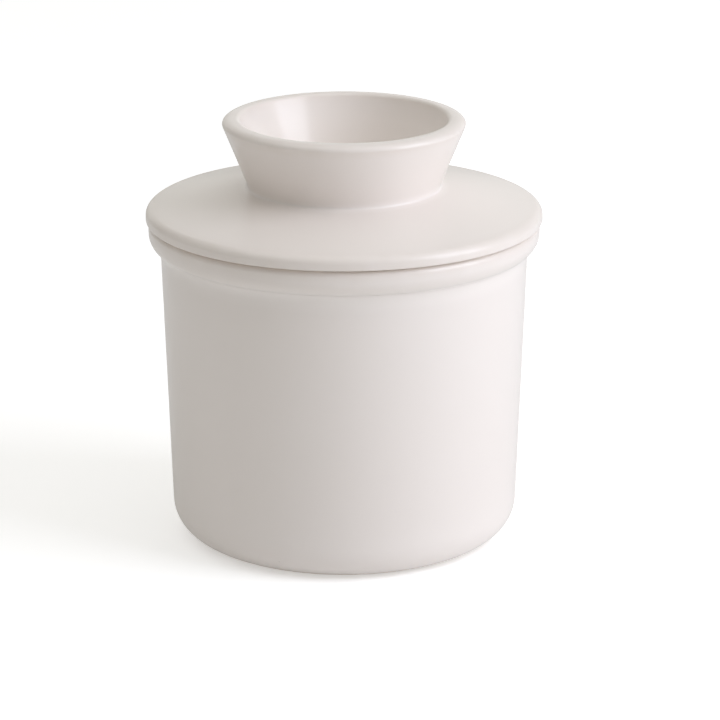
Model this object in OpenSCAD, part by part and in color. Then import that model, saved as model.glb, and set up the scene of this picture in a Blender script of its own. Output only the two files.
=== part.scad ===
// Butter keeper in white glazed stoneware: a tapered crock, and a lid that carries a bell.
// The bell hangs in the crock upside down, over a little water that keeps the air out.
// The lid is a plate, a collar and a bell, formed one by one and joined with slip before firing.
// Millimetres, +Z up. The origin is the centre of the foot, on the table.

/* [Crock] */
// Height of the crock, from the table to its rim
crock_h = 79.5; // [65:0.1:100]
// Outside diameter where the line of the wall meets the table
crock_base_d = 85; // [78:0.1:90]
// Outside diameter of the wall just under the rim roll
crock_neck_d = 90; // [85:0.1:100]
// Thickness of the crock's wall
crock_wall = 4.6; // [3.5:0.1:6]
// Height of the inside floor above the table
crock_floor = 5.4; // [4:0.1:8]
// Radius of the outside corner at the base
base_corner_r = 8.6; // [3:0.1:12]
// Radius of the inside corner at the floor
well_corner_r = 7; // [3:0.1:10]
// Width of the ring that the crock stands on
foot_w = 5; // [3:0.1:10]
// Height of the hollow inside the foot ring
foot_hollow = 1; // [0.5:0.1:2]
// Width of the slope from the foot ring up to the hollow
foot_slope_w = 1.2; // [0.5:0.1:3]

/* [Rim roll] */
// Height of the roll, from where it leaves the wall to the rim
rim_h = 7.8; // [5:0.1:12]
// How far the roll stands out from the wall
rim_proud = 2.85; // [1.5:0.05:4.5]
// Radius of the roll's upper outside edge
rim_top_r = 1.4; // [1:0.1:3]
// Height of the upright face of the roll, below that edge
rim_face_h = 1.3; // [0.5:0.1:2.5]
// Radius of the hollow where the roll leaves the wall
rim_under_r = 1.8; // [0.8:0.1:3]
// Radius of the inside edge of the mouth
mouth_edge_r = 1.5; // [0.5:0.1:2.5]

/* [Lid plate] */
// Height of the plate, from its seat on the rim to the ledge under the collar
plate_h = 8.5; // [7:0.1:14]
// How far the plate's edge stands out past the rim roll
plate_overhang = 0.65; // [0:0.05:3]
// Width of the rounding from the plate's top to its edge
plate_edge_w = 2.6; // [1.5:0.1:9]
// Height of that rounding
plate_edge_h = 2; // [1:0.1:3.5]
// Height of the upright face of the plate's edge
plate_face_h = 1; // [0.4:0.1:2.5]
// Radius of the plate's lower edge
plate_low_r = 0.4; // [0.3:0.1:1]
// Height of the gap between the plate's outer margin and the rim roll
plate_relief = 0.4; // [0.2:0.1:0.8]
// Depth of the socket for the bell in the plate's underside
socket_depth = 3; // [1.5:0.1:4]
// Room for slip round the bell in that socket
slip_gap = 0.15; // [0.05:0.05:0.5]

/* [Collar] */
// Height of the collar above its ledge
collar_h = 17; // [12:0.1:24]
// Outside diameter of the collar's neck
collar_neck_d = 47.5; // [40:0.1:60]
// Height of the neck, where the flare starts
collar_neck_h = 1; // [0.8:0.1:5]
// How far the collar's rim stands out past its neck
collar_flare = 5.85; // [3:0.05:9]
// Thickness of the collar at its foot
collar_wall = 4.8; // [3.5:0.1:7]
// Width of the rounding on the outside of the collar's lip
collar_lip_w = 2.6; // [1.5:0.1:4.5]
// Height of that rounding
collar_lip_h = 1.4; // [1:0.1:3]
// Radius of the inside edge of the collar's lip
collar_lip_r = 1.2; // [0.5:0.1:2]
// Width of the flat on the collar's lip
collar_flat_w = 0.6; // [0.4:0.1:1.5]
// Radius of the fillet round the collar's foot
collar_fillet_r = 0.4; // [0.2:0.1:0.7]
// Largest radius of the bend from the neck to the flare
collar_bend_r = 4; // [1:0.5:10]

/* [Bell] */
// Gap between the bell and the crock's wall
bell_gap = 3.4; // [2:0.1:8]
// Height of the bell's lip above the crock's floor
bell_clear = 14.6; // [6:0.1:30]
// Thickness of the bell's wall
bell_wall = 4.2; // [3.5:0.1:6]
// Thickness of the bell's crown
bell_crown = 5; // [3.5:0.1:7]
// Radius of the inside corner at the crown
bell_corner_r = 6; // [2:0.1:12]
// Radius of both edges of the bell's lip
bell_lip_r = 1.7; // [0.8:0.1:1.7]
// Radius of the crown's outside edge
bell_edge_r = 1; // [0.3:0.1:1.8]

/* [Hidden] */

// Straight steps in each rounded corner of an outline
arc_steps = 14;
// Straight steps in a full turn
$fn = 180;

glaze = "#f1eeea";

// Heights, from the table up
roll_low_z = crock_h - rim_h;
roll_wide_z = crock_h - rim_top_r;
roll_face_z = roll_wide_z - rim_face_h;
seat_z = crock_h;
socket_z = seat_z + socket_depth;
ledge_z = seat_z + plate_h;
top_z = ledge_z + collar_h;
bell_lip_z = crock_floor + bell_clear;
crown_z = socket_z - bell_crown;

// The wall leans out by this angle
taper = atan((crock_neck_d - crock_base_d) / 2 / roll_low_z);

// The rim roll's underside is a hollow and a round that turn by the same angle
rim_r = crock_neck_d / 2 + rim_proud;
roll_under_h = roll_face_z - roll_low_z;
roll_turn = 2 * atan(rim_proud / roll_under_h);
roll_r = roll_under_h / sin(roll_turn) - rim_under_r;

// Lid plate and collar
plate_r = rim_r + plate_overhang;
margin_z = seat_z + plate_relief;
margin_r = rim_r - rim_top_r;
neck_r = collar_neck_d / 2;
bore_r = neck_r - collar_wall;

// Insets of the bell's two faces from the line of the crock's outside wall
bell_out = crock_wall + bell_gap;
bell_in = bell_out + bell_wall;
shoulder_r = wall_r(seat_z, bell_out);

// Radius at height z of a line inside the crock's outside wall and parallel to it
function wall_r(z, inset) = crock_base_d / 2 + z * tan(taper) - inset / cos(taper);

// Point of such a line at height z
function wall_point(z, inset) = [wall_r(z, inset), z];

// Point at angle a of an ellipse with half axes half = [across, up]
function round_point(centre, half, a) = centre + [half.x * cos(a), half.y * sin(a)];

// Points along an ellipse from one angle to another
function oval(centre, half, from, to) =
    [for (i = [0 : arc_steps]) round_point(centre, half, from + (to - from) * i / arc_steps)];

// Points along a circle from one angle to another
function arc(centre, r, from, to) = oval(centre, [r, r], from, to);

// Angle at which a straight line from p touches an ellipse, on one side (1) or the other (-1)
function touch(p, centre, half, side) =
    let (q = [(p.x - centre.x) / half.x, (p.y - centre.y) / half.y])
    atan2(q.y, q.x) + side * acos(1 / norm(q));

// The same points without the first, where an arc starts on the end of another
function after_first(points) = [for (i = [1 : len(points) - 1]) points[i]];

module turned(outline) {
    color(glaze) rotate_extrude() polygon(outline);
}

// Pot with a foot ring, a wall that leans out, and a rolled rim with a flat ledge for the lid
module crock() {
    base_round = wall_point(base_corner_r, base_corner_r);
    well_round = wall_point(crock_floor + well_corner_r, crock_wall + well_corner_r);
    mouth_z = crock_h - mouth_edge_r;
    mouth_round = [wall_r(mouth_z, crock_wall) + mouth_edge_r, mouth_z];
    foot_in_r = base_round.x - foot_w;
    turned(concat(
        [[0, foot_hollow], [foot_in_r - foot_slope_w, foot_hollow], [foot_in_r, 0]],
        arc(base_round, base_corner_r, -90, -taper),
        arc([crock_neck_d / 2 + rim_under_r, roll_low_z], rim_under_r, 180, 180 - roll_turn),
        after_first(arc([rim_r - roll_r, roll_face_z], roll_r, -roll_turn, 0)),
        arc([rim_r - rim_top_r, roll_wide_z], rim_top_r, 0, 90),
        arc(mouth_round, mouth_edge_r, 90, 180),
        arc(well_round, well_corner_r, -taper, -90),
        [[0, crock_floor]]
    ));
}

// Ring with a sloping top and a soft edge; flat below, where it rests on the crock's rim, with a raised margin
module lid_plate() {
    low_z = margin_z + plate_low_r;
    edge_centre = [plate_r - plate_edge_w, low_z + plate_face_h];
    edge_half = [plate_edge_w, plate_edge_h];
    ledge_end = [neck_r + collar_fillet_r, ledge_z];
    socket_r = shoulder_r + slip_gap;
    turned(concat(
        [[bore_r, socket_z], [bore_r, ledge_z], ledge_end],
        oval(edge_centre, edge_half, touch(ledge_end, edge_centre, edge_half, -1), 0),
        arc([plate_r - plate_low_r, low_z], plate_low_r, 0, -90),
        [[margin_r + plate_relief, margin_z], [margin_r, seat_z], [socket_r, seat_z], [socket_r, socket_z]]
    ));
}

// Flared hollow ring: the grip for the fingers, and the foot when the lid stands upside down
module collar() {
    lip_half = [collar_lip_w, collar_lip_h];
    lip_out = [neck_r + collar_flare, top_z] - lip_half;
    lip_in = [lip_out.x - collar_flat_w, top_z - collar_lip_r];
    bend_corner = [neck_r, ledge_z + collar_neck_h];
    lip_from = touch(bend_corner, lip_out, lip_half, 1);
    flare_line = round_point(lip_out, lip_half, lip_from) - bend_corner;
    flare = atan2(flare_line.x, flare_line.y);
    bend_r = min(collar_bend_r, (collar_neck_h - collar_fillet_r) / tan(flare / 2));
    bend_z = bend_corner.y - bend_r * tan(flare / 2);
    foot_in = [bore_r, ledge_z];
    lip_to = 360 + touch(foot_in, lip_in, [collar_lip_r, collar_lip_r], -1);
    turned(concat(
        [foot_in],
        arc([neck_r + collar_fillet_r, ledge_z + collar_fillet_r], collar_fillet_r, 270, 180),
        arc([neck_r + bend_r, bend_z], bend_r, 180, 180 - flare),
        oval(lip_out, lip_half, lip_from, 90),
        arc(lip_in, collar_lip_r, 90, lip_to)
    ));
}

// Cup that holds the butter, mouth down: its crown sits in the plate's socket
module butter_bell() {
    crown_round = wall_point(crown_z - bell_corner_r, bell_in + bell_corner_r);
    lip_z = bell_lip_z + bell_lip_r;
    lip_out = wall_point(lip_z, bell_out + bell_lip_r);
    lip_in = wall_point(lip_z, bell_in - bell_lip_r);
    turned(concat(
        [[0, socket_z]],
        arc([shoulder_r - bell_edge_r, socket_z - bell_edge_r], bell_edge_r, 90, 0),
        [[shoulder_r, seat_z]],
        arc(lip_out, bell_lip_r, -taper, -90),
        arc(lip_in, bell_lip_r, 270, 180 - taper),
        arc(crown_round, bell_corner_r, -taper, 90),
        [[0, crown_z]]
    ));
}

crock();
lid_plate();
collar();
butter_bell();
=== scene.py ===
# Butter keeper in white glazed stoneware: a tapered crock, and a lid that carries a bell.
# The pieces are written in millimetres and turned into the frame's metres; the stage is written in metres.
import math

import bpy
import numpy as np
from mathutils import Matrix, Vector


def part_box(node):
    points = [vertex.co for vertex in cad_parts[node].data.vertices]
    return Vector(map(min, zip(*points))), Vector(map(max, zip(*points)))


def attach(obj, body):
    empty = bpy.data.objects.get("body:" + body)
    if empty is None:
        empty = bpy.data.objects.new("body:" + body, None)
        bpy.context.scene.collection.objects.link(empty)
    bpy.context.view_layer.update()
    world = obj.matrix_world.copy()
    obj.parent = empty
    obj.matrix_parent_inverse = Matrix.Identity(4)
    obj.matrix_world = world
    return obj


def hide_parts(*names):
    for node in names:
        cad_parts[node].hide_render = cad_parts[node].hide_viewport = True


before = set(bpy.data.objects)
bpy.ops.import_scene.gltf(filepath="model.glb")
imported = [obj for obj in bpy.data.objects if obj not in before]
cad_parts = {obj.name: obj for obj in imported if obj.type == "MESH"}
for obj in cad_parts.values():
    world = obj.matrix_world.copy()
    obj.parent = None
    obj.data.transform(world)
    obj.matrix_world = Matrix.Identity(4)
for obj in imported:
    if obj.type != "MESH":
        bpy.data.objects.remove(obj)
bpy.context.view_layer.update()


# Crock
# A jiggered stoneware pot with a wall that leans out, a rolled rim with a flat ledge, and a foot ring.
# It is dipped in warm white glaze; the foot ring and the flat of the rim are wiped bare against sticking,
# and the bare clay runs out onto the rim's rounding as painted shade under the lid's edge.
mm = 0.001
rim_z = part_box("crock")[1].z / mm
roll_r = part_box("crock")[1].x / mm
wall_foot_r = 42.5
wall_neck_r = 45.0
roll_h = 7.8
neck_z = rim_z - roll_h
wall_lean = (wall_neck_r - wall_foot_r) / neck_z
wall_turn = 90.0 - math.degrees(math.atan(wall_lean))
crock_wall = 4.6
crock_floor_z = 5.4
base_radius = 8.6
well_radius = 7.0
mouth_radius = 1.5
foot_in_r = 29.2
foot_hollow = 1.0
foot_slope = 1.2
foot_ease = 0.35
roll_top_radius = 1.4
roll_face_h = 1.3
roll_face_z = rim_z - roll_top_radius - roll_face_h
roll_turn = 58.4
roll_under_radius = 4.19
roll_hollow_radius = 1.8
pooled_hollow_cut = 2.6
roll_pool_and_light_out = 0.3
roll_pool_and_light_up = 0.5
roll_pool_and_light_reach = 1.8
well_pool_and_light_in = 2.0
well_pool_and_light_reach = 5.0
crock_glaze_line_z = 1.0
# The bare seat runs out onto the rim's outer rounding: its darker clay there is painted shade that deepens
# the line under the lid's edge.
bare_seat_in = 2.2
bare_seat_and_shade_out = 1.1
bare_seat_depth = 2.0


def wall_r(z, inset=0.0):
    """Radius at height z of a line inside the crock's outer wall and parallel to it."""
    return wall_foot_r + wall_lean * z - inset


def cut(radius, turn):
    """How far from a corner its rounding starts: radius times tan of half the corner's turn, in degrees."""
    return radius * math.tan(math.radians(turn) / 2.0)


def turned_outline(corners, closed):
    """Points of a turned piece's outline, and which of them are sharp, from its corners.

    A corner is a radius, a height, and how far it is cut back along the runs before and after it.
    The cut is bridged by the arc that turns by the corner's own angle q, stretched to the two cuts a and b:
    corner + a (1 - cos((1 - u) q)) / (1 - cos q) + b (1 - cos(u q)) / (1 - cos q), for u from 0 to 1.
    Runs longer than a step are divided evenly. A corner with no cut stays sharp."""
    arc_points = 13
    longest_step = 2.0
    no_length = 1e-6
    corner = np.array(corners, float)
    place = corner[:, :2]
    before = np.roll(place, 1, axis=0) - place
    after = np.roll(place, -1, axis=0) - place
    before /= np.linalg.norm(before, axis=1, keepdims=True)
    after /= np.linalg.norm(after, axis=1, keepdims=True)
    angle = np.pi - np.arccos(np.clip((before * after).sum(axis=1), -1.0, 1.0))
    share = np.linspace(0.0, 1.0, arc_points)
    bend = (1.0 - np.cos(np.outer(angle, share))) / (1.0 - np.cos(angle))[:, None]
    cut_before = (before * corner[:, 2:3])[:, None, :] * bend[:, ::-1, None]
    cut_after = (after * corner[:, 3:4])[:, None, :] * bend[:, :, None]
    points = (place[:, None, :] + cut_before + cut_after).reshape(-1, 2)
    sharp = np.repeat(corner[:, 2] + corner[:, 3] == 0.0, arc_points)
    if closed:
        points = np.vstack([points, points[:1]])
        sharp = np.append(sharp, sharp[0])
    run = np.diff(points, axis=0)
    length = np.linalg.norm(run, axis=1)
    parts = np.where(length < no_length, 0, np.ceil(length / longest_step)).astype(int)
    step = np.arange(parts.sum()) - np.repeat(np.cumsum(parts) - parts, parts)
    dense = np.repeat(points[:-1], parts, axis=0)
    dense = dense + np.repeat(run / np.maximum(parts, 1)[:, None], parts, axis=0) * step[:, None]
    dense_sharp = np.repeat(sharp[:-1], parts) & (step == 0)
    if not closed:
        dense = np.vstack([dense, points[-1]])
        dense_sharp = np.append(dense_sharp, False)
    return dense, dense_sharp


def edge_thinness(points, sharp, closed):
    """How far the glaze draws thin on the edges of an outline, from 0 to 1.

    The outline's turn per millimetre is spread over a millimetre by a bell curve, and counts where it is
    positive, on an edge. A sharp corner is a joint under the glaze, so it counts for nothing."""
    spread = 0.9
    thin_turn = 0.45
    before = points - np.roll(points, 1, axis=0)
    after = np.roll(points, -1, axis=0) - points
    cross = before[:, 0] * after[:, 1] - before[:, 1] * after[:, 0]
    turn = np.where(sharp, 0.0, np.arctan2(cross, (before * after).sum(axis=1)))
    if not closed:
        turn[[0, -1]] = 0.0
    length = np.linalg.norm(after, axis=1)
    along = np.cumsum(length) - length
    apart = np.abs(along[:, None] - along[None, :])
    if closed:
        apart = np.minimum(apart, length.sum() - apart)
    weight = np.exp(-0.5 * (apart / spread) ** 2) / (spread * math.sqrt(2.0 * math.pi))
    return np.clip(weight @ turn / thin_turn, 0.0, 1.0)


def pool_and_light_ring(radius, height, ring_r, ring_z, reach):
    """How far the glaze pools in a hollow that runs round a piece, and how much it is painted lighter there,
    from 0 to 1.

    It is a bell curve of the distance to the hollow's ring, which has a radius, a height and a reach."""
    return np.exp(-0.5 * ((radius - ring_r) ** 2 + (height - ring_z) ** 2) / reach**2)


def turned_piece(name, corners, closed, pool_and_light, glaze_line):
    """A piece turned about +Z: every point of the outline is carried round a circle.

    Radius = outline radius less an oval that grows with height and a slow ripple that winds up the piece.
    Both are below a tenth of a millimetre, as on thrown ware, and fade out near the axis. An open outline
    starts and ends on the axis, and each end is one point. From radius and height, one function gives how
    far the glaze pools and is painted lighter, as painted light in the hollows, and glaze_line how far in mm
    a point lies inside the edge of the glaze."""
    turn_points = 288
    oval = 0.03
    oval_phase = 0.6
    ripple = 0.008
    ripple_pitch = 8.0
    steady_r = 10.0
    points, sharp = turned_outline(corners, closed)
    values = {
        "thin": edge_thinness(points, sharp, closed),
        "pool_and_light": pool_and_light(points[:, 0], points[:, 1]),
        "glaze_line": glaze_line(points[:, 0], points[:, 1]),
    }
    rings = slice(None) if closed else slice(1, -1)
    angle = np.linspace(0.0, 2.0 * np.pi, turn_points, endpoint=False)[None, :]
    radius, height = points[rings, :1], points[rings, 1:]
    grown = np.clip(radius / steady_r, 0.0, 1.0)
    wander = oval * height / rim_z * (np.cos(2.0 * angle + oval_phase) - 1.0)
    wander = wander + ripple * (np.sin(2.0 * np.pi * height / ripple_pitch + angle) - 1.0)
    radius = radius + grown * wander
    vertices = np.stack([radius * np.cos(angle), radius * np.sin(angle), height + 0.0 * angle], axis=2)
    vertices = vertices.reshape(-1, 3)
    number = np.arange(len(vertices)).reshape(-1, turn_points)
    if closed:
        number = np.vstack([number, number[:1]])
    turned_on = np.roll(number, -1, axis=1)
    faces = np.stack([number[:-1], turned_on[:-1], turned_on[1:], number[1:]], axis=2)
    faces = faces.reshape(-1, 4).tolist()
    poles = [] if closed else [0, -1]
    if not closed:
        pole = np.full(turn_points, len(vertices))
        faces += np.stack([pole, turned_on[0], number[0]], axis=1).tolist()
        faces += np.stack([pole + 1, number[-1], turned_on[-1]], axis=1).tolist()
        vertices = np.vstack([vertices, np.insert(points[poles], 1, 0.0, axis=1)])
    mesh = bpy.data.meshes.new(name)
    mesh.from_pydata((vertices * mm).tolist(), [], faces)
    mesh.polygons.foreach_set("use_smooth", np.ones(len(mesh.polygons), bool))
    for key, value in values.items():
        value = np.append(np.repeat(value[rings], turn_points), value[poles])
        mesh.attributes.new(key, "FLOAT", "POINT").data.foreach_set("value", value.astype(np.float32))
    ends = np.empty(len(mesh.edges) * 2, np.int32)
    mesh.edges.foreach_get("vertices", ends)
    ring_of = ends.reshape(-1, 2) // turn_points
    sharp_ring = np.append(sharp[rings], False)
    mesh.edges.foreach_set("use_edge_sharp", (ring_of[:, 0] == ring_of[:, 1]) & sharp_ring[ring_of[:, 0]])
    mesh.update()
    piece = bpy.data.objects.new(name, mesh)
    bpy.context.scene.collection.objects.link(piece)
    return piece


def make_glaze_coat():
    """A node group for the glaze: its thin edges, pooled hollows with painted light, pinholes, and bare clay
    past its edge.

    Colour: clouds about 40 mm across, warmer on thin edges, whiter where it pools, which is also painted
    light lifting the shade in the hollows. Height, in mm: an orange peel about 1 mm across, pinholes, and
    the step down to grainy clay at the glaze line, which wanders."""
    pinhole_share = 0.15
    pinhole_stain = 0.4
    pinhole_brown = (0.5, 0.44, 0.38, 1.0)
    pinhole_depth = 0.03
    line_wander = 1.2
    line_softness = 0.12
    cloud_low = 0.2
    cloud_high = 0.8
    rough_least = 0.33
    rough_most = 0.4
    thin_extra_rough = 0.08
    bare_extra_rough = 0.45
    grain_brown = (0.5, 0.42, 0.33, 1.0)
    grain_height = 0.05
    peel_height = 0.0015
    patch_height = 0.003
    glaze_height = 0.1
    coat_weight = 0.5
    group = bpy.data.node_groups.new("glaze_coat", "ShaderNodeTree")
    number, colour_kind = "NodeSocketFloat", "NodeSocketColor"
    given_kinds = {
        "Vector": "NodeSocketVector",
        "Thin": number,
        "Pool And Light": number,
        "Glaze Line": number,
        "Glaze": colour_kind,
        "Cloud": colour_kind,
        "Thin Glaze": colour_kind,
        "Pooled And Lit Glaze": colour_kind,
        "Clay": colour_kind,
    }
    for socket, kind in given_kinds.items():
        group.interface.new_socket(socket, in_out="INPUT", socket_type=kind)
    result_kinds = {"Color": colour_kind, "Roughness": number, "Coat": number, "Height": number}
    for socket, kind in result_kinds.items():
        group.interface.new_socket(socket, in_out="OUTPUT", socket_type=kind)
    nodes, links = group.nodes, group.links
    given = nodes.new("NodeGroupInput").outputs
    result = nodes.new("NodeGroupOutput").inputs

    def noise(scale, detail):
        node = nodes.new("ShaderNodeTexNoise")
        node.inputs["Scale"].default_value = scale
        node.inputs["Detail"].default_value = detail
        links.new(given["Vector"], node.inputs["Vector"])
        return node.outputs["Fac"]

    def math_node(operation, *values):
        node = nodes.new("ShaderNodeMath")
        node.operation = operation
        for socket, value in zip(node.inputs, values):
            if isinstance(value, (int, float)):
                socket.default_value = value
            else:
                links.new(value, socket)
        return node.outputs[0]

    def ramp(value, low, high, to_low=0.0, to_high=1.0):
        node = nodes.new("ShaderNodeMapRange")
        node.interpolation_type = "SMOOTHSTEP"
        node.inputs["From Min"].default_value = low
        node.inputs["From Max"].default_value = high
        node.inputs["To Min"].default_value = to_low
        node.inputs["To Max"].default_value = to_high
        links.new(value, node.inputs["Value"])
        return node.outputs["Result"]

    def blend(share, under, over):
        node = nodes.new("ShaderNodeMix")
        node.data_type = "RGBA"
        links.new(share, node.inputs["Factor"])
        links.new(under, node.inputs[6])
        if isinstance(over, tuple):
            node.inputs[7].default_value = over
        else:
            links.new(over, node.inputs[7])
        return node.outputs[2]

    cloud = noise(scale=26.0, detail=1.0)
    patch = noise(scale=190.0, detail=2.0)
    peel = noise(scale=900.0, detail=1.0)
    grain = noise(scale=3800.0, detail=3.0)
    cells = nodes.new("ShaderNodeTexVoronoi")
    cells.inputs["Scale"].default_value = 70.0
    links.new(given["Vector"], cells.inputs["Vector"])
    split = nodes.new("ShaderNodeSeparateColor")
    links.new(cells.outputs["Color"], split.inputs["Color"])
    chosen = math_node("GREATER_THAN", split.outputs["Red"], 1.0 - pinhole_share)
    pit = ramp(cells.outputs["Distance"], low=0.007, high=0.017, to_low=1.0, to_high=0.0)
    pinhole = math_node("MULTIPLY", chosen, pit)
    wavy_line = math_node("MULTIPLY_ADD", patch, line_wander, given["Glaze Line"])
    glazed = ramp(math_node("SUBTRACT", wavy_line, line_wander / 2), low=-line_softness, high=line_softness)
    bare = math_node("SUBTRACT", 1.0, glazed)
    uneven = ramp(patch, low=0.25, high=0.75, to_low=0.35, to_high=0.75)
    thin_share = math_node("MULTIPLY", given["Thin"], uneven)
    colour = blend(ramp(cloud, cloud_low, cloud_high), given["Glaze"], given["Cloud"])
    colour = blend(thin_share, colour, given["Thin Glaze"])
    # Whiter where the glaze pools: partly pooled glaze, partly painted light that lifts the shade in the
    # hollows.
    colour = blend(given["Pool And Light"], colour, given["Pooled And Lit Glaze"])
    colour = blend(math_node("MULTIPLY", pinhole, pinhole_stain), colour, pinhole_brown)
    specks = ramp(grain, low=0.62, high=0.75, to_low=0.0, to_high=0.5)
    colour = blend(bare, colour, blend(specks, given["Clay"], grain_brown))
    rough = ramp(cloud, cloud_low, cloud_high, rough_least, rough_most)
    rough = math_node("MULTIPLY_ADD", thin_share, thin_extra_rough, rough)
    rough = math_node("MULTIPLY_ADD", bare, bare_extra_rough, rough)
    height = math_node("MULTIPLY", peel, peel_height)
    height = math_node("MULTIPLY_ADD", patch, patch_height, height)
    height = math_node("MULTIPLY_ADD", pinhole, -pinhole_depth, height)
    height = math_node("MULTIPLY_ADD", glazed, glaze_height, height)
    height = math_node("MULTIPLY_ADD", math_node("MULTIPLY", bare, grain), grain_height, height)
    links.new(colour, result["Color"])
    links.new(rough, result["Roughness"])
    links.new(math_node("MULTIPLY", glazed, coat_weight), result["Coat"])
    links.new(height, result["Height"])
    return group


glaze_coat = make_glaze_coat()


def glaze_material(name, glaze, cloud, thin, pooled, clay):
    """Glazed stoneware: the shared coat group with this piece's own colours, under a clear satin layer."""
    material = bpy.data.materials.new(name)
    material.use_nodes = True
    nodes, links = material.node_tree.nodes, material.node_tree.links
    shader = nodes["Principled BSDF"]
    coat = nodes.new("ShaderNodeGroup")
    coat.node_tree = glaze_coat
    place = nodes.new("ShaderNodeTexCoord")
    links.new(place.outputs["Object"], coat.inputs["Vector"])
    for socket, attribute in {"Thin": "thin", "Pool And Light": "pool_and_light", "Glaze Line": "glaze_line"}.items():
        node = nodes.new("ShaderNodeAttribute")
        node.attribute_name = attribute
        links.new(node.outputs["Fac"], coat.inputs[socket])
    colours = {"Glaze": glaze, "Cloud": cloud, "Thin Glaze": thin, "Pooled And Lit Glaze": pooled, "Clay": clay}
    for socket, colour in colours.items():
        coat.inputs[socket].default_value = (*colour, 1.0)
    bump = nodes.new("ShaderNodeBump")
    bump.inputs["Distance"].default_value = mm
    links.new(coat.outputs["Height"], bump.inputs["Height"])
    links.new(bump.outputs["Normal"], shader.inputs["Normal"])
    links.new(coat.outputs["Color"], shader.inputs["Base Color"])
    links.new(coat.outputs["Roughness"], shader.inputs["Roughness"])
    links.new(coat.outputs["Coat"], shader.inputs["Coat Weight"])
    shader.inputs["Coat Roughness"].default_value = 0.15
    shader.inputs["IOR"].default_value = 1.4
    return material


def crock_glaze_line(radius, height):
    """Bare on the foot ring, up to a line above the table, and on the flat of the rim under the lid, which
    runs out onto the rim's rounding as painted shade under the lid's edge.
    """
    off_foot = np.maximum(height - crock_glaze_line_z, foot_in_r - foot_slope - radius)
    seat_in_r = wall_neck_r - crock_wall + bare_seat_in
    # The outer edge of the bare band lies on the rim's rounding, as painted shade under the lid's edge.
    seat_and_shade_out_r = roll_r - bare_seat_and_shade_out
    beside_seat_and_shade = np.maximum(radius - seat_and_shade_out_r, seat_in_r - radius)
    return np.minimum(off_foot, np.maximum(beside_seat_and_shade, rim_z - bare_seat_depth - height))


def crock_pool_and_light(radius, height):
    """Pools and is painted lighter in the hollow under the rim roll and in the corner of the well, where
    shade falls.
    """
    roll_pool_and_light_r = wall_neck_r + roll_pool_and_light_out
    well_pool_and_light_r = wall_r(crock_floor_z, crock_wall) - well_pool_and_light_in
    under_roll = pool_and_light_ring(radius, height, roll_pool_and_light_r, neck_z + roll_pool_and_light_up, roll_pool_and_light_reach)
    well = pool_and_light_ring(radius, height, well_pool_and_light_r, crock_floor_z, well_pool_and_light_reach)
    return np.maximum(under_roll, well)


base_cut = cut(base_radius, wall_turn)
well_cut = cut(well_radius, wall_turn)
mouth_cut = cut(mouth_radius, wall_turn)
roll_hollow_cut = cut(roll_hollow_radius, roll_turn)
roll_under_cut = cut(roll_under_radius, roll_turn)
crock_corners = [
    (0.0, foot_hollow, 0.0, 0.0),
    (foot_in_r - foot_slope, foot_hollow, 2 * foot_ease, 2 * foot_ease),
    (foot_in_r, 0.0, foot_ease, foot_ease),
    (wall_foot_r, 0.0, base_cut, base_cut),
    (wall_neck_r, neck_z + roll_hollow_cut, pooled_hollow_cut, roll_hollow_cut),
    (roll_r, roll_face_z - roll_under_cut, roll_under_cut, roll_under_cut),
    (roll_r, rim_z, roll_top_radius, roll_top_radius),
    (wall_r(rim_z, crock_wall), rim_z, mouth_cut, mouth_cut),
    (wall_r(crock_floor_z, crock_wall), crock_floor_z, well_cut, well_cut),
    (0.0, crock_floor_z, 0.0, 0.0),
]
crock = turned_piece("crock_glazed", crock_corners, False, crock_pool_and_light, crock_glaze_line)
warm_white = (0.888, 0.826, 0.782)
cloud_white = (0.878, 0.814, 0.767)
thin_white = (0.843, 0.77, 0.71)
# The whiter pooled colour is partly pooled glaze and partly painted light that lifts the shade in the
# hollows.
pooled_and_lit_white = (0.935, 0.875, 0.83)
biscuit_clay = (0.62, 0.54, 0.45)
crock.data.materials.append(
    glaze_material("crock_glaze", warm_white, cloud_white, thin_white, pooled_and_lit_white, biscuit_clay)
)
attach(crock, "crock")
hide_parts("crock")


# Lid plate
# A jiggered ring with a sloping top and a soft edge; it rests flat on the crock's rim, with a raised margin.
# A socket in its underside takes the crown of the bell, and the collar is luted onto its ledge with slip.
seat_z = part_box("lid_plate")[0].z / mm
ledge_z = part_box("lid_plate")[1].z / mm
plate_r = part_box("lid_plate")[1].x / mm
bore_r = 18.95
ledge_r = 24.15
socket_r = 37.42
socket_depth = 3.0
socket_z = seat_z + socket_depth
margin_r = roll_r - roll_top_radius
margin_rise = 0.4
margin_z = seat_z + margin_rise
plate_low_radius = 0.4
plate_slope = 0.2126
plate_edge_z = ledge_z - plate_slope * (plate_r - ledge_r)
plate_edge_down = 1.52
plate_edge_in = 1.95
seat_edge_steepness = 10.0
foot_pool_and_light_in = 0.3
foot_pool_and_light_up = 0.15
foot_pool_and_light_reach = 0.7


def plate_glaze_line(radius, height):
    """Bare where the plate rests on the rim: the raised margin and all above it are glazed."""
    return seat_edge_steepness * (height - seat_z - margin_rise / 2)


def foot_pool_and_light(radius, height):
    """Pools and is painted lighter in the fillet round the collar's foot, where shade falls."""
    return pool_and_light_ring(radius, height, ledge_r - foot_pool_and_light_in, ledge_z + foot_pool_and_light_up, foot_pool_and_light_reach)


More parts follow.
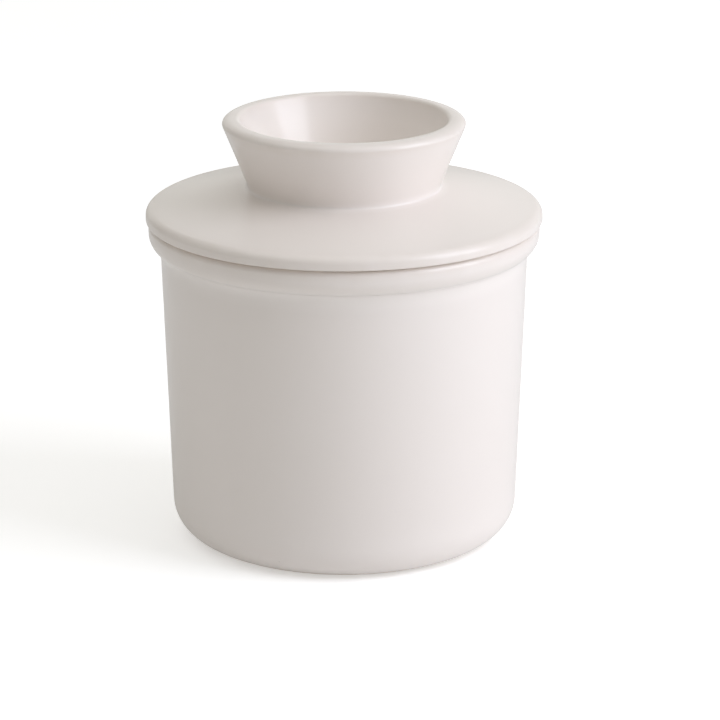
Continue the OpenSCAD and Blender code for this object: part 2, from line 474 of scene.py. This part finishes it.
plate_corners = [
    (bore_r, socket_z, 0.0, 0.0),
    (socket_r, socket_z, 0.0, 0.0),
    (socket_r, seat_z, 0.0, 0.0),
    (margin_r, seat_z, margin_rise / 2, margin_rise / 2),
    (margin_r + margin_rise, margin_z, margin_rise / 3, margin_rise / 3),
    (plate_r, margin_z, plate_low_radius, plate_low_radius),
    (plate_r, plate_edge_z, plate_edge_down, plate_edge_in),
    (ledge_r, ledge_z, 0.0, 0.0),
    (bore_r, ledge_z, 0.0, 0.0),
]
plate = turned_piece("lid_plate_glazed", plate_corners, True, foot_pool_and_light, plate_glaze_line)
plate.data.materials.append(
    glaze_material("lid_plate_glaze", warm_white, cloud_white, thin_white, pooled_and_lit_white, biscuit_clay)
)
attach(plate, "lid")
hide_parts("lid_plate")


# Collar
# A hollow flared ring, thrown on its own: the grip for the fingers, and the foot of the lid turned over.
# It is luted onto the plate's ledge while damp, and the slip is sponged to a small fillet round its foot.
top_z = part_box("collar")[1].z / mm
collar_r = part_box("collar")[1].x / mm
neck_r = 23.75
neck_h = 1.0
neck_bend_z = ledge_z + neck_h
neck_bend_down = 0.45
neck_bend_up = 2.0
flare_slope = 0.4049
lip_down = 1.4
lip_in = 2.6
lip_soft_down = 0.5
lip_soft_up = 0.14
mouth_r = 25.58
mouth_edge_cut = 0.82
foot_corner_z = ledge_z + plate_slope * (ledge_r - neck_r)
foot_fillet = math.hypot(ledge_r - neck_r, foot_corner_z - ledge_z)
inner_neck_h = 1.2
inner_bend_z = ledge_z + inner_neck_h
inner_bend_up = 4.0
inner_skin = 2.0
inner_pool_and_light_drop = 1.0
inner_pool_and_light_fade = 5.0
far_inside = 5.0
collar_corners = [
    (bore_r, ledge_z, 0.0, 0.0),
    (ledge_r, ledge_z, 0.0, 0.0),
    (neck_r, foot_corner_z, foot_fillet, foot_fillet),
    (neck_r, neck_bend_z, neck_bend_down, neck_bend_up),
    (collar_r, neck_bend_z + (collar_r - neck_r) / flare_slope, lip_soft_down, lip_soft_up),
    (collar_r, top_z, lip_down, lip_in),
    (mouth_r, top_z, mouth_edge_cut, mouth_edge_cut),
    (bore_r, inner_bend_z, inner_bend_up, inner_neck_h),
]


def collar_glaze_line(radius, height):
    """Glazed all over."""
    return np.full_like(radius, far_inside)


def collar_pool_and_light(radius, height):
    """Pools and is painted lighter in the fillet round the foot, and inside, more and more down from the
    lip, as painted light in the collar's shaded hollow.
    """
    inner_r = bore_r + (mouth_r - bore_r) * (height - inner_bend_z) / (top_z - inner_bend_z)
    on_inside = np.clip(inner_skin - (radius - inner_r), 0.0, 1.0)
    down = np.clip((top_z - inner_pool_and_light_drop - height) / inner_pool_and_light_fade, 0.0, 1.0)
    return np.maximum(foot_pool_and_light(radius, height), on_inside * down)


collar = turned_piece("collar_glazed", collar_corners, True, collar_pool_and_light, collar_glaze_line)
collar.data.materials.append(
    glaze_material("collar_glaze", warm_white, cloud_white, thin_white, pooled_and_lit_white, biscuit_clay)
)
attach(collar, "lid")
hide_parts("collar")


# Butter bell
# A cup, mouth down, that holds the butter; its crown is luted in the plate's socket and closes the bore.
# The lid is fired standing on the bell's lip, so the glaze is wiped off there and the clay shows.
bell_lip_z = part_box("butter_bell")[0].z / mm
bell_gap = 3.4
bell_wall = 4.2
bell_crown = 5.0
crown_radius = 6.0
bell_lip_radius = 1.7
bell_out = crock_wall + bell_gap
bell_in = bell_out + bell_wall
crown_z = socket_z - bell_crown
crown_cut = cut(crown_radius, 180.0 - wall_turn)
bell_lip_cut = cut(bell_lip_radius, wall_turn)
shoulder_r = wall_r(seat_z, bell_out)
shoulder_round = 1.0
bead_w = 1.6
bead_drop = 0.02
bowl_round = 3.8
bowl_overlap = 0.2
bowl_lean = 0.01
bare_lip_h = 1.2
bell_glaze_line_z = bell_lip_z + bare_lip_h
bead_pool_and_light_out = 0.5
bead_pool_and_light_down = 0.5
bead_pool_and_light_reach = 1.5
crown_pool_and_light_fade = 1.0


def bell_glaze_line(radius, height):
    """Glazed from a little above the lip."""
    return height - bell_glaze_line_z


def bell_pool_and_light(radius, height):
    """Pools and is painted lighter in the bead of slip under the plate, and over the crown inside the
    collar, as painted light in its shaded bowl.
    """
    bead_pool_and_light_r = shoulder_r + bead_pool_and_light_out
    bead = pool_and_light_ring(radius, height, bead_pool_and_light_r, seat_z - bead_pool_and_light_down, bead_pool_and_light_reach)
    crown = np.clip(1.0 + (height - socket_z) / crown_pool_and_light_fade, 0.0, 1.0)
    return np.maximum(bead, crown)


bell_corners = [
    (0.0, crown_z, 0.0, 0.0),
    (wall_r(crown_z, bell_in), crown_z, crown_cut, crown_cut),
    (wall_r(bell_lip_z, bell_in), bell_lip_z, bell_lip_cut, bell_lip_cut),
    (wall_r(bell_lip_z, bell_out), bell_lip_z, bell_lip_cut, bell_lip_cut),
    (shoulder_r, seat_z - bead_drop, bead_w, bead_w),
    (shoulder_r + bead_w, seat_z - bead_drop, 0.0, 0.0),
    (shoulder_r, seat_z + bead_drop, 0.0, 0.0),
    (shoulder_r, socket_z, shoulder_round, shoulder_round),
    (bore_r + bowl_overlap, socket_z - bead_drop, 0.0, 0.0),
    (bore_r + bowl_overlap, socket_z + bowl_round, 0.0, 0.0),
    (bore_r + bowl_overlap - bowl_lean, socket_z, bowl_round, bowl_round),
    (0.0, socket_z, 0.0, 0.0),
]
bell = turned_piece("butter_bell_glazed", bell_corners, False, bell_pool_and_light, bell_glaze_line)
bell.data.materials.append(
    glaze_material("butter_bell_glaze", warm_white, cloud_white, thin_white, pooled_and_lit_white, biscuit_clay)
)
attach(bell, "lid")
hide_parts("butter_bell")


# Studio floor
# A wide matt white floor that the keeper stands on; it runs out to the horizon on every side.
# It glows under the foot, faintly elsewhere and brightly for the eye, and is clear when seen from below.
floor_z = -0.00002
floor_turn_points = 64
glow_in_r = 0.03
glow_out_r = 0.045
glow_under = 0.25
glow_around = 0.03
glow_seen = 0.42
floor_rings = np.array([0.2, 1.0, 5.0, 30.0])
floor_angle = np.linspace(0.0, 2.0 * np.pi, floor_turn_points, endpoint=False)
floor_x = np.outer(floor_rings, np.cos(floor_angle)).ravel()
floor_y = np.outer(floor_rings, np.sin(floor_angle)).ravel()
floor_number = np.arange(len(floor_x)).reshape(len(floor_rings), -1)
floor_next = np.roll(floor_number, -1, axis=1)
floor_faces = np.stack([floor_number[:-1], floor_number[1:], floor_next[1:], floor_next[:-1]], axis=2)
floor_mesh = bpy.data.meshes.new("studio_floor")
floor_points = np.stack([floor_x, floor_y, np.full_like(floor_x, floor_z)], axis=1).tolist()
floor_polygons = floor_faces.reshape(-1, 4).tolist() + [floor_number[0].tolist()]
floor_mesh.from_pydata(floor_points, [], floor_polygons)
floor = bpy.data.objects.new("studio_floor", floor_mesh)
bpy.context.scene.collection.objects.link(floor)
floor_paint = bpy.data.materials.new("floor_paint")
floor_paint.use_nodes = True
floor_nodes, floor_links = floor_paint.node_tree.nodes, floor_paint.node_tree.links
floor_shader = floor_nodes["Principled BSDF"]
floor_shader.inputs["Base Color"].default_value = (0.86, 0.857, 0.85, 1.0)
floor_shader.inputs["Roughness"].default_value = 0.9
floor_shader.inputs["Specular IOR Level"].default_value = 0.0
floor_shader.inputs["Emission Color"].default_value = (1.0, 1.0, 1.0, 1.0)
floor_place = floor_nodes.new("ShaderNodeTexCoord")
floor_away = floor_nodes.new("ShaderNodeVectorMath")
floor_away.operation = "LENGTH"
floor_links.new(floor_place.outputs["Object"], floor_away.inputs[0])
floor_glow = floor_nodes.new("ShaderNodeMapRange")
floor_glow.interpolation_type = "SMOOTHSTEP"
floor_glow.inputs["From Min"].default_value = glow_in_r
floor_glow.inputs["From Max"].default_value = glow_out_r
floor_glow.inputs["To Min"].default_value = glow_under
floor_glow.inputs["To Max"].default_value = glow_around
floor_links.new(floor_away.outputs["Value"], floor_glow.inputs["Value"])
floor_seen = floor_nodes.new("ShaderNodeLightPath")
floor_mix = floor_nodes.new("ShaderNodeMix")
floor_mix.inputs["B"].default_value = glow_seen
floor_links.new(floor_seen.outputs["Is Camera Ray"], floor_mix.inputs["Factor"])
floor_links.new(floor_glow.outputs["Result"], floor_mix.inputs["A"])
floor_links.new(floor_mix.outputs["Result"], floor_shader.inputs["Emission Strength"])
floor_side = floor_nodes.new("ShaderNodeNewGeometry")
floor_clear = floor_nodes.new("ShaderNodeMath")
floor_clear.operation = "SUBTRACT"
floor_clear.inputs[0].default_value = 1.0
floor_links.new(floor_side.outputs["Backfacing"], floor_clear.inputs[1])
floor_links.new(floor_clear.outputs[0], floor_shader.inputs["Alpha"])
floor_mesh.materials.append(floor_paint)


# Light
# A tall soft box stands to the right of the camera, in a room that is dim but for a few white panels:
# one overhead, one behind the keeper and one to its left.
middle = Vector((0.0, 0.0, 0.5 * top_z * mm))
key_azimuth = math.radians(69.0)
key_rise = math.radians(26.0)
key_distance = 1.2
key_towards = Vector((
    math.sin(key_azimuth) * math.cos(key_rise),
    -math.cos(key_azimuth) * math.cos(key_rise),
    math.sin(key_rise),
))
key_light = bpy.data.lights.new("key_light", "AREA")
key_light.shape = "RECTANGLE"
key_light.size = 0.75
key_light.size_y = 1.1
key_light.energy = 9.65
key_light.color = (0.97, 1.0, 1.11)
key = bpy.data.objects.new("key_light", key_light)
key.location = middle + key_towards * key_distance
key.rotation_euler = key_towards.to_track_quat("Z", "Y").to_euler()
key.visible_camera = False
bpy.context.scene.collection.objects.link(key)

room = bpy.data.worlds.new("room")
bpy.context.scene.world = room
room.use_nodes = True
room_nodes, room_links = room.node_tree.nodes, room.node_tree.links
room_dim = 0.262
room_panels = [
    ((0.0, 0.0, 1.0), 0.65, 0.95, 0.74),
    ((0.0, 1.0, 0.0), 0.65, 0.95, 0.56),
    ((-1.0, 0.0, 0.0), 0.65, 0.95, 0.25),
]
towards = room_nodes.new("ShaderNodeTexCoord").outputs["Generated"]
brightness = room_nodes.new("ShaderNodeValue").outputs[0]
brightness.default_value = room_dim
for direction, edge, full, strength in room_panels:
    facing = room_nodes.new("ShaderNodeVectorMath")
    facing.operation = "DOT_PRODUCT"
    facing.inputs[1].default_value = direction
    room_links.new(towards, facing.inputs[0])
    panel = room_nodes.new("ShaderNodeMapRange")
    panel.interpolation_type = "SMOOTHSTEP"
    panel.inputs["From Min"].default_value = edge
    panel.inputs["From Max"].default_value = full
    panel.inputs["To Max"].default_value = strength
    room_links.new(facing.outputs["Value"], panel.inputs["Value"])
    summed = room_nodes.new("ShaderNodeMath")
    room_links.new(brightness, summed.inputs[0])
    room_links.new(panel.outputs["Result"], summed.inputs[1])
    brightness = summed.outputs[0]
room_light = room_nodes["Background"]
room_light.inputs["Color"].default_value = (1.0, 0.995, 0.958, 1.0)
room_links.new(brightness, room_light.inputs["Strength"])
room_wall = room_nodes.new("ShaderNodeBackground")
room_wall.inputs["Color"].default_value = (1.0, 1.0, 1.0, 1.0)
room_seen = room_nodes.new("ShaderNodeLightPath")
room_mix = room_nodes.new("ShaderNodeMixShader")
room_links.new(room_seen.outputs["Is Camera Ray"], room_mix.inputs[0])
room_links.new(room_light.outputs[0], room_mix.inputs[1])
room_links.new(room_wall.outputs[0], room_mix.inputs[2])
room_links.new(room_mix.outputs[0], room_nodes["World Output"].inputs["Surface"])


# Camera
# It looks slightly down on the keeper from the front with a long lens.
# The photograph is 720 pixels square, and the keeper's axis stands a little left of its middle and above it.
photo_side = 720
pixels_per_m = 4045.0
axis_pixel = (344.2, 324.0)
camera_distance = 0.85
camera_rise = math.radians(17.6)
sensor = 36.0
camera_back = Vector((0.0, -math.cos(camera_rise), math.sin(camera_rise)))
camera_up = Vector((0.0, math.sin(camera_rise), math.cos(camera_rise)))
shift_right = (photo_side / 2 - axis_pixel[0]) / pixels_per_m
shift_up = (axis_pixel[1] - photo_side / 2) / pixels_per_m
aim = middle + Vector((shift_right, 0.0, 0.0)) + camera_up * shift_up
lens = bpy.data.cameras.new("camera")
lens.sensor_width = sensor
lens.lens = pixels_per_m * camera_distance * sensor / photo_side
lens.clip_end = 100.0
camera = bpy.data.objects.new("camera", lens)
camera.location = aim + camera_back * camera_distance
camera.rotation_euler = camera_back.to_track_quat("Z", "Y").to_euler()
bpy.context.scene.collection.objects.link(camera)
bpy.context.scene.camera = camera
bpy.context.scene.view_settings.view_transform = "Standard"
